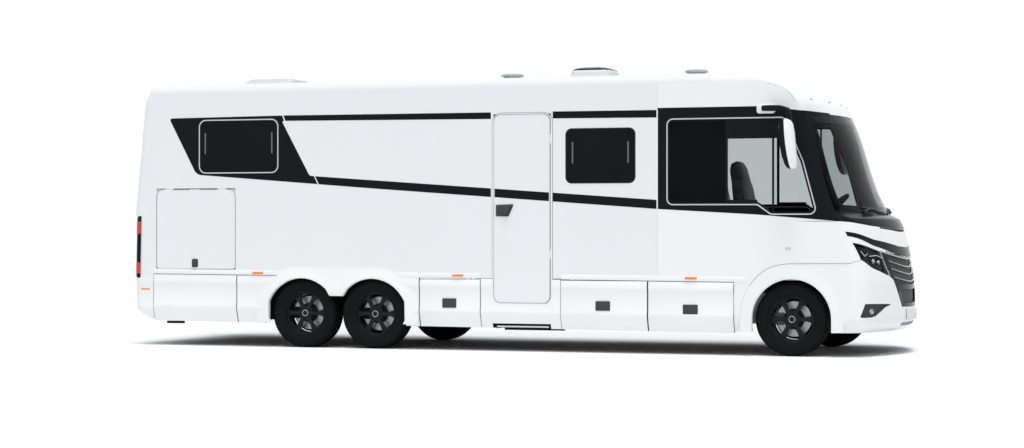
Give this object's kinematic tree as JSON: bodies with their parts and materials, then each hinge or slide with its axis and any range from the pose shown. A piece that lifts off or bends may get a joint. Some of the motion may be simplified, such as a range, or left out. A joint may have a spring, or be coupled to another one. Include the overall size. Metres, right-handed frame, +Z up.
{
  "type": "tandem-axle motorhome",
  "caption": "White integrated motorhome on tandem rear axles, with opening doors, skirt flaps, hatches, a sliding step, steered front wheels and rolling wheels.",
  "frame": {"origin": "on the ground below the middle of the overall length and width", "axes": "+X forward, +Y to the left, +Z up; the entrance is on the right"},
  "size_m": [8.2198, 2.84, 2.956],
  "materials": {
    "white_panel": "white gelcoat on sandwich panel",
    "white_moulding": "white moulded glass-fibre",
    "white_skirt": "white painted aluminium",
    "dark_glass": "dark tinted acrylic",
    "clear_glass": "laminated clear glass",
    "black_trim": "gloss black moulding",
    "black_plastic": "grained black plastic",
    "lamp_clear": "clear lamp lens over bright reflector",
    "lamp_red": "red lamp lens",
    "tyre": "black tyre rubber",
    "alloy_black": "gloss black painted alloy",
    "steel_black": "black painted steel",
    "cast": "bare cast iron and steel",
    "floor_board": "sandwich floor board",
    "smoked": "smoked acrylic",
    "seat_leather": "grey leather upholstery"
  },
  "bodies": {
    "root": {"side_wall_right": "white_panel", "side_wall_left": "white_panel", "rear_wall": "white_panel", "roof_shell": "white_panel", "cab_side_right": "white_moulding", "cab_side_left": "white_moulding", "front_cap": "white_moulding", "front_panel": "white_moulding", "rear_bumper": "white_moulding", "mirrors": "white_moulding", "skirt_right": "white_skirt", "skirt_left": "white_skirt", "living_windows": "dark_glass", "windscreen": "clear_glass", "cab_windows": "clear_glass", "cowl_panel": "black_trim", "grille": "black_trim", "wipers": "black_plastic", "dashboard": "black_plastic", "steering_wheel": "black_plastic", "roof_vents": "black_plastic", "hatch_frames": "black_plastic", "seat_frames": "black_plastic", "step_well": "black_plastic", "headlamps": "lamp_clear", "fog_lamps": "lamp_clear", "tail_lamps": "lamp_red", "chassis_frame": "steel_black", "front_axle": "steel_black", "rear_axles": "steel_black", "engine_block": "cast", "floor_panel": "floor_board", "cab_seats": "seat_leather"},
    "entrance_door": {"entrance_door": "white_panel"},
    "garage_door_right": {"garage_door_right": "white_panel"},
    "garage_door_left": {"garage_door_left": "white_panel"},
    "bonnet": {"bonnet": "white_moulding"},
    "entry_step": {"entry_step": "steel_black"},
    "hatch_lid_rear": {"hatch_lid_rear": "smoked"},
    "hatch_lid_mid": {"hatch_lid_mid": "smoked"},
    "knuckle_right": {"knuckle_right": "cast"},
    "knuckle_left": {"knuckle_left": "cast"},
    "flap_right_rear": {"flap_right_rear": "white_skirt"},
    "flap_right_mid": {"flap_right_mid": "white_skirt"},
    "flap_right_front": {"flap_right_front": "white_skirt"},
    "flap_left_rear": {"flap_left_rear": "white_skirt"},
    "flap_left_mid": {"flap_left_mid": "white_skirt"},
    "flap_left_front": {"flap_left_front": "white_skirt"},
    "wheel_front_right": {"tyre_front_right": "tyre", "rim_front_right": "alloy_black"},
    "wheel_front_left": {"tyre_front_left": "tyre", "rim_front_left": "alloy_black"},
    "wheel_mid_right": {"tyre_mid_right": "tyre", "rim_mid_right": "alloy_black"},
    "wheel_mid_left": {"tyre_mid_left": "tyre", "rim_mid_left": "alloy_black"},
    "wheel_rear_right": {"tyre_rear_right": "tyre", "rim_rear_right": "alloy_black"},
    "wheel_rear_left": {"tyre_rear_left": "tyre", "rim_rear_left": "alloy_black"}
  },
  "joints": [
    {"name": "entrance_door_swing", "type": "hinge", "parent": "root", "child": "entrance_door", "pos_m": [0.646, -1.147, 1.4545], "axis": [0, 0, 1], "range_deg": [0, 95]},
    {"name": "garage_right_lift", "type": "hinge", "parent": "root", "child": "garage_door_right", "pos_m": [-3.346, -1.147, 1.673], "axis": [-1, 0, 0], "range_deg": [0, 95]},
    {"name": "garage_left_lift", "type": "hinge", "parent": "root", "child": "garage_door_left", "pos_m": [-3.346, 1.147, 1.673], "axis": [1, 0, 0], "range_deg": [0, 95]},
    {"name": "flap_right_rear_lift", "type": "hinge", "parent": "root", "child": "flap_right_rear", "pos_m": [-0.437, -1.147, 0.738], "axis": [-1, 0, 0], "range_deg": [0, 100]},
    {"name": "flap_right_mid_lift", "type": "hinge", "parent": "root", "child": "flap_right_mid", "pos_m": [1.217, -1.147, 0.738], "axis": [-1, 0, 0], "range_deg": [0, 100]},
    {"name": "flap_right_front_lift", "type": "hinge", "parent": "root", "child": "flap_right_front", "pos_m": [2.115, -1.147, 0.738], "axis": [-1, 0, 0], "range_deg": [0, 100]},
    {"name": "flap_left_rear_lift", "type": "hinge", "parent": "root", "child": "flap_left_rear", "pos_m": [-0.437, 1.147, 0.738], "axis": [1, 0, 0], "range_deg": [0, 100]},
    {"name": "flap_left_mid_lift", "type": "hinge", "parent": "root", "child": "flap_left_mid", "pos_m": [1.217, 1.147, 0.738], "axis": [1, 0, 0], "range_deg": [0, 100]},
    {"name": "flap_left_front_lift", "type": "hinge", "parent": "root", "child": "flap_left_front", "pos_m": [2.115, 1.147, 0.738], "axis": [1, 0, 0], "range_deg": [0, 100]},
    {"name": "bonnet_lift", "type": "hinge", "parent": "root", "child": "bonnet", "pos_m": [3.989, 0, 1.226], "axis": [0, -1, 0], "range_deg": [0, 55]},
    {"name": "hatch_rear_lift", "type": "hinge", "parent": "root", "child": "hatch_lid_rear", "pos_m": [-3.19, 0, 2.8683], "axis": [0, -1, 0], "range_deg": [0, 60]},
    {"name": "hatch_mid_lift", "type": "hinge", "parent": "root", "child": "hatch_lid_mid", "pos_m": [0.549, 0, 2.8683], "axis": [0, -1, 0], "range_deg": [0, 60]},
    {"name": "entry_step_slide", "type": "slide", "parent": "root", "child": "entry_step", "axis": [0, -1, 0], "range_m": [0, 0.25]},
    {"name": "steer_right", "type": "hinge", "parent": "root", "child": "knuckle_right", "pos_m": [3.11, -0.89, 0.362], "axis": [0, 0, 1], "range_deg": [-35, 35]},
    {"name": "steer_left", "type": "hinge", "parent": "root", "child": "knuckle_left", "pos_m": [3.11, 0.89, 0.362], "axis": [0, 0, 1], "range_deg": [-35, 35]},
    {"name": "spin_front_right", "type": "hinge", "parent": "knuckle_right", "child": "wheel_front_right", "pos_m": [3.11, -0.972, 0.362], "axis": [0, 1, 0], "continuous": true},
    {"name": "spin_front_left", "type": "hinge", "parent": "knuckle_left", "child": "wheel_front_left", "pos_m": [3.11, 0.972, 0.362], "axis": [0, 1, 0], "continuous": true},
    {"name": "spin_mid_right", "type": "hinge", "parent": "root", "child": "wheel_mid_right", "pos_m": [-1.31, -0.972, 0.362], "axis": [0, 1, 0], "continuous": true},
    {"name": "spin_mid_left", "type": "hinge", "parent": "root", "child": "wheel_mid_left", "pos_m": [-1.31, 0.972, 0.362], "axis": [0, 1, 0], "continuous": true},
    {"name": "spin_rear_right", "type": "hinge", "parent": "root", "child": "wheel_rear_right", "pos_m": [-2.11, -0.972, 0.362], "axis": [0, 1, 0], "continuous": true},
    {"name": "spin_rear_left", "type": "hinge", "parent": "root", "child": "wheel_rear_left", "pos_m": [-2.11, 0.972, 0.362], "axis": [0, 1, 0], "continuous": true}
  ],
  "couplings": [
    {"joint": "steer_left", "follows": "steer_right", "ratio": 1}
  ]
}
